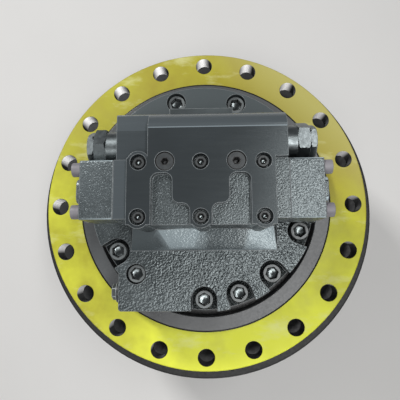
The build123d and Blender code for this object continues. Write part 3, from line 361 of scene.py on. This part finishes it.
def block_paint(name, dark, light, satin):
    """The valve block: satin paint on the machined faces with a painted highlight along the crest, cast grain
    with painted glints everywhere else.
    """
    recipe = Recipe(name)
    smooth, paler, crest = smooth_faces(recipe)
    y = recipe.axes()[1]
    fine = recipe.noise(620.0, 0.5, 0.5, warp=0.3)
    lumps = recipe.noise(75.0, 2.0, 0.5)
    milling = recipe.noise(240.0, 2.0, 0.5, (0.12, 1.0, 1.0))
    stains = recipe.noise(16.0, 3.0, 0.6)
    behind = recipe.span(y, FADE_START, FADE_END, 1.0, BACK_GRAIN)
    sand = recipe.plus(recipe.times(fine, 0.34), recipe.times(lumps, 0.4))
    height = recipe.blend(smooth, recipe.times(sand, behind), recipe.times(milling, 0.015))
    cast = recipe.mix(recipe.span(stains, 0.35, 0.7), dark, light)
    # Painted glints: the tops of the fine grain are painted paler.
    painted_glints = recipe.times(recipe.span(fine, 0.5, 0.7, 0.0, 0.5), behind)
    sand_and_glints = recipe.mix(painted_glints, cast, scaled(light, 1.7))
    flat = recipe.mix(recipe.span(stains, 0.3, 0.75), scaled(satin, 0.8), satin)
    milled = recipe.mix(paler, flat, scaled(satin, 2.2))
    # Painted highlight: a pale line along the crest.
    crest_highlight = recipe.mix(crest, milled, scaled(satin, 6.0))
    cast_gloss = recipe.span(stains, 0.3, 0.7, 0.30, 0.38)
    flat_gloss = recipe.span(milling, 0.3, 0.7, 0.28, 0.25)
    return recipe.surface(
        base_color=recipe.mix(smooth, sand_and_glints, crest_highlight),
        roughness=recipe.blend(smooth, cast_gloss, flat_gloss),
        specular_ior_level=recipe.span(smooth, 0.0, 1.0, PAINT_GLOSS, 0.5),
        specular_tint=PAINT_TINT,
        normal=recipe.bump(height, 1.0, 0.0012),
    )


def flange_holes(recipe, x, y, radius):
    """A mask of the bolt holes' walls, from the distance to the nearest hole axis."""
    step = 2 * pi / FLANGE_HOLES
    turn = recipe.math("ARCTAN2", y, x)
    nearest = recipe.times(recipe.math("ROUND", recipe.math("DIVIDE", turn, step)), step)
    fold = recipe.math("SUBTRACT", turn, nearest)
    outward = recipe.times(radius, recipe.math("COSINE", fold))
    along = recipe.math("SUBTRACT", outward, FLANGE_HOLE_CIRCLE)
    across = recipe.times(radius, recipe.math("SINE", fold))
    return recipe.under(recipe.length(along, across), FLANGE_HOLE_RADIUS)


def yellow_coat(recipe, x, y, cloud):
    """The flange's coat: olive where it is thin, lemon where it is thick, painted light at the front and
    painted shade at the back and the right, with milky streaks and a pale sheen at the upper right as painted
    reflection.
    """
    patches = recipe.noise(7.0, 4.0, 0.6, shift=(0.3, 0.1, 0.2))
    # Painted light and shade: the coat turns lemon at the front and olive at the back and the right.
    steep = recipe.plus(recipe.times(x, -5.0), -1.2)
    dull = recipe.times(recipe.either(x, 0.0), -0.6)
    slope = recipe.plus(dull, recipe.times(y, steep))
    mottle = recipe.plus(recipe.times(patches, 0.7), recipe.times(cloud, 0.3))
    thickness_and_light = recipe.plus(recipe.plus(mottle, slope), 0.12)
    thin = recipe.span(thickness_and_light, 0.3, 0.62)
    thick = recipe.span(thickness_and_light, 0.6, 0.95)
    # Painted reflection: milky streaks, and a pale sheen at the upper right.
    streaks = recipe.span(recipe.noise(11.0, 5.0, 0.65, (1.0, 2.6, 1.0)), 0.55, 0.74)
    olive = recipe.mix(thin, (0.34, 0.285, 0.027), (0.45, 0.435, 0.038))
    lemon = recipe.mix(thick, olive, (0.82, 0.86, 0.065))
    painted_haze = recipe.span(recipe.plus(x, y), PAINTED_HAZE_START, PAINTED_HAZE_END, 0.0, 0.2)
    return recipe.mix(recipe.either(recipe.times(streaks, 0.5), painted_haze), lemon, (0.80, 0.82, 0.46))


def coated_case(name):
    """The motor case: yellow coat on the flange, bare steel in its holes with painted light on the walls
    facing the front and the right and painted shade on the others, grey paint elsewhere with a near-black
    pilot chamfer and groove.
    """
    recipe = Recipe(name)
    x, y, z = recipe.axes()
    radius = recipe.length(x, y)
    thick = recipe.times(recipe.over(z, FLANGE_BACK), recipe.under(z, FLANGE_FACE))
    coat = recipe.times(recipe.over(radius, PILOT_RADIUS), thick)
    hole = flange_holes(recipe, x, y, radius)
    cloud = recipe.noise(26.0, 3.0, 0.6)
    grain = recipe.noise(300.0, 2.0, 0.5)
    stains = recipe.span(recipe.noise(12.0, 3.0, 0.6), 0.3, 0.7)
    smooth_grey = recipe.mix(stains, (0.055, 0.058, 0.060), (0.085, 0.090, 0.092))
    # The pilot's chamfer ring and the groove inside the pilot are painted near black; in the groove this is
    # painted shade.
    shade = recipe.either(recipe.over(radius, PILOT_CHAMFER), recipe.under(radius, PILOT_GROOVE))
    grey = recipe.mix(shade, smooth_grey, (0.004, 0.004, 0.004))
    painted = recipe.mix(coat, grey, yellow_coat(recipe, x, y, cloud))
    # Painted light and shade in the bolt holes: walls that face the front and the right are painted pale
    # steel, the others near black.
    facing = recipe.facing()
    lit_side = recipe.math("SUBTRACT", recipe.times(facing[0], 0.45), recipe.times(facing[1], 0.9))
    steel = recipe.mix(recipe.span(lit_side, 0.3, 1.0), (0.03, 0.03, 0.03), (0.72, 0.71, 0.70))
    grey_gloss = recipe.span(grain, 0.3, 0.7, 0.40, 0.32)
    coat_gloss = recipe.span(cloud, 0.3, 0.7, 0.42, 0.6)
    waves = recipe.plus(recipe.times(grain, 0.1), recipe.times(cloud, 0.5))
    return recipe.surface(
        base_color=recipe.mix(hole, painted, steel),
        metallic=hole,
        specular_ior_level=recipe.span(coat, 0.0, 1.0, 0.5, 0.25),
        roughness=recipe.blend(hole, recipe.blend(coat, grey_gloss, coat_gloss), 0.5),
        normal=recipe.bump(waves, 0.25, 0.0015, recipe.lifted(recipe.times(hole, HOLE_LIFT))),
    )


def metal(name, dark, light, gloss, grain=260.0, stretch=(1, 1, 1), metallic=1.0, shine=0.5):
    """Bare or oxide coated metal with fine tool marks and uneven gloss."""
    recipe = Recipe(name)
    marks = recipe.noise(grain, 3.0, 0.6, stretch)
    stains = recipe.noise(35.0, 3.0, 0.6)
    return recipe.surface(
        base_color=recipe.mix(recipe.span(stains, 0.3, 0.7), dark, light),
        metallic=metallic,
        specular_ior_level=shine,
        roughness=recipe.span(marks, 0.3, 0.7, gloss - 0.07, gloss + 0.09),
        normal=recipe.bump(marks, 0.15, 0.0003),
    )


def rubbed_highlit_edge(name, dark, light, gloss):
    """Paint or oxide rubbed thin on an edge, with a painted highlight: uneven and paler than the faces beside
    it.
    """
    recipe = Recipe(name)
    wear = recipe.noise(120.0, 4.0, 0.65)
    return recipe.surface(
        base_color=recipe.mix(recipe.span(wear, 0.35, 0.65), dark, light),
        roughness=recipe.span(wear, 0.3, 0.7, gloss + 0.08, gloss - 0.05),
    )


def plain_rubber(name):
    """Moulded rubber with a faint bloom."""
    recipe = Recipe(name)
    bloom = recipe.noise(60.0, 3.0, 0.6)
    return recipe.surface(
        base_color=recipe.mix(bloom, (0.012, 0.012, 0.012), (0.035, 0.035, 0.035)),
        roughness=recipe.span(bloom, 0.3, 0.7, 0.7, 0.55),
        normal=recipe.bump(recipe.noise(700.0), 0.1, 0.0003),
    )


def pale_floor(name):
    """Plain pale studio floor with a trace of mottling."""
    recipe = Recipe(name)
    mottle = recipe.noise(5.0, 3.0, 0.5)
    return recipe.surface(
        base_color=recipe.mix(mottle, (0.70, 0.69, 0.67), (0.74, 0.73, 0.71)),
        roughness=0.85,
    )


# Colours of the cast paint, and of the oxide on the screws
CAST_DARK = (0.014, 0.017, 0.018)
CAST_LIGHT = (0.032, 0.038, 0.040)
OXIDE_DARK = (0.030, 0.034, 0.035)
OXIDE_LIGHT = (0.060, 0.066, 0.067)

cover_paint = cast_paint(
    "cast_paint",
    CAST_DARK,
    CAST_LIGHT,
    left_grain=0.0024,
    right_grain=0.0024,
    lump=0.7,
    depth=0.0016,
    left_depth=0.4,
)
# The caps' paint is a lighter copy of the castings' paint: painted light.
lit_cap_paint = cast_paint(
    "lit_cap_paint",
    CAST_LIGHT,
    scaled(CAST_LIGHT, 1.8),
    left_grain=0.0013,
    right_grain=0.0020,
    lump=0.08,
    depth=0.0007,
    left_depth=1.0,
)
materials = {
    "case_finish": coated_case("coated_case"),
    "dark_paint": cover_paint,
    "screw_steel": metal("oxide_steel", OXIDE_DARK, OXIDE_LIGHT, 0.36, metallic=0.0, shine=0.4),
    "valve_steel": metal("phosphated_steel", (0.17, 0.17, 0.185), (0.28, 0.28, 0.30), 0.38),
    "gear_steel": metal("ground_steel", (0.45, 0.45, 0.46), (0.62, 0.62, 0.63), 0.26, 320.0, (1, 1, 0.2)),
    "cast_iron": metal("machined_iron", (0.16, 0.16, 0.165), (0.28, 0.28, 0.285), 0.42),
    "bronze": metal("bearing_bronze", (0.48, 0.33, 0.13), (0.66, 0.48, 0.22), 0.32),
    "friction": metal("friction_lining", (0.10, 0.08, 0.06), (0.20, 0.16, 0.12), 0.7, 500.0, metallic=0.0),
    "seal_rubber": plain_rubber("seal_rubber"),
}
valve_block_paint = block_paint("valve_block_paint", CAST_DARK, CAST_LIGHT, (0.028, 0.033, 0.036))
# Near-black paint of the hub, made darker than the castings as painted shade under the flange; on the rims of
# the screw heads it is a painted shadow ring, and it also blackens the plugs' rims.
shaded_black_paint = metal("shaded_black_paint", (0.007, 0.007, 0.007), (0.015, 0.015, 0.015), 0.55, metallic=0.0)
# Broken edges painted paler than the faces: rubbed paint and oxide, and painted highlights.
paint_edge = rubbed_highlit_edge("rubbed_highlit_paint", (0.11, 0.12, 0.125), (0.20, 0.22, 0.225), 0.30)
steel_edge = rubbed_highlit_edge("rubbed_highlit_oxide", (0.17, 0.19, 0.19), (0.42, 0.46, 0.46), 0.26)
# A lighter copy of the screws' oxide for the end cover's screw heads: painted light.
lit_head_oxide = metal("lit_head_oxide", (0.09, 0.10, 0.101), (0.16, 0.178, 0.179), 0.36, metallic=0.0)
# Lit and shaded copies of the sockets' steel: painted light in the valve block's screws, painted shade in the
# end cover's.
lit_socket_steel = metal("lit_socket_steel", (0.10, 0.115, 0.116), (0.20, 0.225, 0.226), 0.22)
shaded_socket_steel = metal("shaded_socket_steel", (0.065, 0.073, 0.074), (0.13, 0.145, 0.146), 0.20)
cap_screw_grey = metal("grey_phosphate", (0.15, 0.14, 0.155), (0.23, 0.22, 0.235), 0.5, metallic=0.0)
plug_paint = metal("plug_oxide", (0.034, 0.038, 0.040), (0.050, 0.055, 0.057), 0.32, metallic=0.0)
relief_steel = metal("relief_oxide", (0.135, 0.152, 0.156), (0.22, 0.245, 0.25), 0.38)


def added(name, data):
    """A new object in the scene."""
    thing = bpy.data.objects.new(name, data)
    bpy.context.scene.collection.objects.link(thing)
    return thing


def copy_of(node):
    """A new piece with a node's shape: vertices welded, flat regions merged into whole faces."""
    mesh = nodes[node].data.copy()
    mesh.materials.clear()
    work = bmesh.new()
    work.from_mesh(mesh)
    bmesh.ops.remove_doubles(work, verts=work.verts, dist=WELD)
    bmesh.ops.dissolve_limit(work, angle_limit=FLAT_ANGLE, verts=work.verts, edges=work.edges)
    work.to_mesh(mesh)
    work.free()
    mesh.shade_smooth()
    return added(node + "_shown", mesh)


def settle(piece, node):
    """Applies the piece's modifiers and puts it in place of its node."""
    depsgraph = bpy.context.evaluated_depsgraph_get()
    piece.data = bpy.data.meshes.new_from_object(piece.evaluated_get(depsgraph))
    piece.modifiers.clear()
    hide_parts(node)
    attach(piece, node_body[node])


def keep_faces_flat(piece):
    """Lets the large faces set the shading, so that only the rounds between them bend the light."""
    piece.modifiers.new("flat_faces", "WEIGHTED_NORMAL").weight = 100


def drill_sockets(piece):
    """Turns the flat floor of each hexagon socket that opens upwards into the cone that a drill leaves."""
    work = bmesh.new()
    work.from_mesh(piece.data)
    floors = [face for face in work.faces if len(face.verts) == 6 and face.normal.z > SLANT_HIGH]
    cones = bmesh.ops.poke(work, faces=floors, offset=-SOCKET_DRILL)
    for face in cones["faces"]:
        face.material_index = 2
        face.smooth = False
    work.to_mesh(piece.data)
    work.free()


def bevelled(node, width, edge, material=None, cones=None, segments=EDGE_STEPS, clamp=False, socket=None):
    """A node with its edges broken by a small round, and its hexagons turned to cones first."""
    piece = copy_of(node)
    piece.data.materials.append(material or materials[node_slot[node]])
    piece.data.materials.append(edge)
    if socket:
        piece.data.materials.append(socket)
        drill_sockets(piece)
    if cones:
        cutter = lathe(cones)
        turned = piece.modifiers.new("turned", "BOOLEAN")
        turned.operation = "INTERSECT"
        turned.object = cutter
    bevel = piece.modifiers.new("edges", "BEVEL")
    bevel.width = width
    bevel.segments = segments
    bevel.limit_method = "ANGLE"
    bevel.angle_limit = EDGE_ANGLE
    bevel.use_clamp_overlap = clamp
    bevel.loop_slide = False
    bevel.material = 1
    keep_faces_flat(piece)
    settle(piece, node)
    if cones:
        bpy.data.objects.remove(cutter)


def skin(work, rings):
    """Faces between rings of vertices that follow each other, and one over each end."""
    for first, second in zip(rings, rings[1:]):
        for k in range(len(first)):
            m = (k + 1) % len(first)
            work.faces.new((first[k], first[m], second[m], second[k]))
    work.faces.new(rings[0])
    work.faces.new(rings[-1])


def finished(work, name):
    """The mesh of a closed shape, with its faces turned outwards."""
    bmesh.ops.recalc_face_normals(work, faces=work.faces)
    mesh = bpy.data.meshes.new(name)
    work.to_mesh(mesh)
    work.free()
    return mesh


def lathe(profile):
    """One solid of turned cones on each relief valve's axis, from (distance, radius) pairs."""
    angles = [2 * pi * k / LATHE_STEPS for k in range(LATHE_STEPS)]
    work = bmesh.new()
    for side, y, z in RELIEF_AXES:
        rings = []
        for distance, radius in profile:
            places = [(side * distance, y + radius * cos(a), z + radius * sin(a)) for a in angles]
            rings.append([work.verts.new(place) for place in places])
        skin(work, rings)
    return added("turned_cones", finished(work, "turned_cones"))


def coil_path(length):
    """Angle and distance of the wire's centre along a spring with a closed turn at each end."""
    pitch = (length - 2 * SPRING_WIRE) / (SPRING_TURNS - 2)
    path = []
    for k in range(SPRING_TURNS * TURN_STEPS + 1):
        turn = k / TURN_STEPS
        middle = min(max(turn - 1, 0), SPRING_TURNS - 2)
        closed = min(turn, 1) + max(turn - SPRING_TURNS + 1, 0)
        path.append((2 * pi * turn, pitch * middle + SPRING_WIRE * closed))
    return path


def coil_spring(name, side):
    """One of the spool's springs, wound in the sleeve that stands for it, with its ends ground flat."""
    low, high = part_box("spool_springs")
    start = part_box("counterbalance_spool")[1].x
    length = high.x - start
    wire = SPRING_WIRE / 2
    axis_y = (low.y + high.y) / 2
    axis_z = (low.z + high.z) / 2
    coil = (high.z - low.z) / 2 - wire
    work = bmesh.new()
    rings = []
    for angle, distance in coil_path(length):
        ring = []
        for k in range(WIRE_SIDES):
            around = 2 * pi * k / WIRE_SIDES
            x = min(max(start + distance + wire * sin(around), start), high.x)
            reach = coil + wire * cos(around)
            place = (side * x, axis_y + reach * cos(angle), axis_z + reach * sin(angle))
            ring.append(work.verts.new(place))
        rings.append(ring)
    skin(work, rings)
    mesh = finished(work, "coil_spring")
    mesh.shade_smooth()
    mesh.materials.append(materials[node_slot["spool_springs"]])
    piece = added(name, mesh)
    settle(piece, "spool_springs")
    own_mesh(piece)


def disc_spring():
    """The brake's spring, which flattens against the end cover as the brake lets go."""
    piece = copy_of("brake_spring")
    piece.data.materials.append(materials[node_slot["brake_spring"]])
    keep_faces_flat(piece)
    settle(piece, "brake_spring")
    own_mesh(piece)


# Castings on the motor end
bevelled("end_cover", CAST_EDGE, paint_edge, segments=CAST_STEPS)
bevelled("valve_block", CAST_EDGE, paint_edge, valve_block_paint, segments=CAST_STEPS)
bevelled("spool_caps", CAP_EDGE, paint_edge, lit_cap_paint, segments=CAST_STEPS)

# Turned and machined pieces that show
bevelled("motor_case", TURNED_EDGE, materials["case_finish"])
bevelled("hub", TURNED_EDGE, shaded_black_paint, shaded_black_paint)
bevelled("gear_cover", TURNED_EDGE, shaded_black_paint, shaded_black_paint)
bevelled("valve_block_plugs", PLUG_EDGE, shaded_black_paint, plug_paint)
bevelled("relief_valves", FINE_EDGE, steel_edge, relief_steel, HEX_CONES, clamp=True)
bevelled("relief_locknuts", FINE_EDGE, steel_edge, relief_steel, NUT_CONES, clamp=True)

# Screws and plugs: those on top of the motor end have drill cones in their sockets and the rims of their
# heads painted black as painted shadow rings
bevelled("spool_cap_screws", HEAD_EDGE, cap_screw_grey, cap_screw_grey)
bevelled("end_cover_screws", HEAD_EDGE, shaded_black_paint, lit_head_oxide, socket=shaded_socket_steel)
bevelled("valve_block_screws", HEAD_EDGE, shaded_black_paint, socket=lit_socket_steel)
for node in ("side_plug", "cover_bolts", "oil_plugs"):
    bevelled(node, HEAD_EDGE, steel_edge)

# Springs, each moving with the body of its node
coil_spring("left_spring", -1)
coil_spring("right_spring", 1)
disc_spring()

# The ring gear is painted like the hub, and the other nodes have the finish of their slot
for node, piece in nodes.items():
    piece.data.materials.clear()
    piece.data.materials.append(shaded_black_paint if node == "ring_gear" else materials[node_slot[node]])


def stage_floor():
    """A wide floor under the gear cover."""
    height = cad_box[0][2]
    signs = ((-1, -1), (1, -1), (1, 1), (-1, 1))
    corners = [(x * FLOOR_REACH, y * FLOOR_REACH, height) for x, y in signs]
    mesh = bpy.data.meshes.new("floor")
    mesh.from_pydata(corners, [], [(0, 1, 2, 3)])
    mesh.materials.append(pale_floor("pale_floor"))
    added("floor", mesh)


def lamp(name, place, target, size, power):
    """A soft light of a width and a depth that points at a target."""
    data = bpy.data.lights.new(name, "AREA")
    data.shape = "RECTANGLE"
    data.size, data.size_y = size
    data.energy = power
    light = added(name, data)
    light.location = place
    aim = Vector(target) - Vector(place)
    light.rotation_euler = aim.to_track_quat("-Z", "Y").to_euler()


def photo_camera():
    """The camera of the photograph, almost straight above the motor end."""
    turn = Matrix.Identity(3)
    for axis, tilt in CAMERA_TILTS:
        turn = turn @ Matrix.Rotation(radians(tilt), 3, axis)
    data = bpy.data.cameras.new("photo_camera")
    data.sensor_width = SENSOR_WIDTH
    data.lens = LENS
    camera = added("photo_camera", data)
    camera.matrix_world = Matrix.Translation(CAMERA_PLACE) @ turn.transposed().to_4x4()
    bpy.context.scene.camera = camera


def soft_world():
    """Even pale light from all round."""
    world = bpy.data.worlds.new("soft_world")
    world.use_nodes = True
    backdrop = world.node_tree.nodes["Background"]
    backdrop.inputs["Color"].default_value = WORLD_COLOUR
    backdrop.inputs["Strength"].default_value = WORLD_STRENGTH
    bpy.context.scene.world = world


stage_floor()
soft_world()
lamp("key", place=(-1.2, 1.3, 1.7), target=(0.0, 0.0, 0.0), size=(0.4, 0.4), power=34.0)
lamp("right", place=(0.58, 0.24, 1.8), target=(0.58, 0.24, 0.0), size=(0.22, 0.8), power=8.0)
lamp("corner", place=(0.45, -0.42, 1.8), target=(0.45, -0.42, 0.0), size=(0.5, 0.4), power=8.0)
lamp("front", place=(-0.1, -0.75, 1.8), target=(-0.1, -0.5, 0.0), size=(0.9, 0.4), power=8.0)
lamp("low", place=(0.34, -1.6, -0.05), target=(0.0, 0.0, 0.12), size=(0.5, 0.30), power=4.0)
photo_camera()
bpy.context.scene.view_settings.view_transform = "Standard"
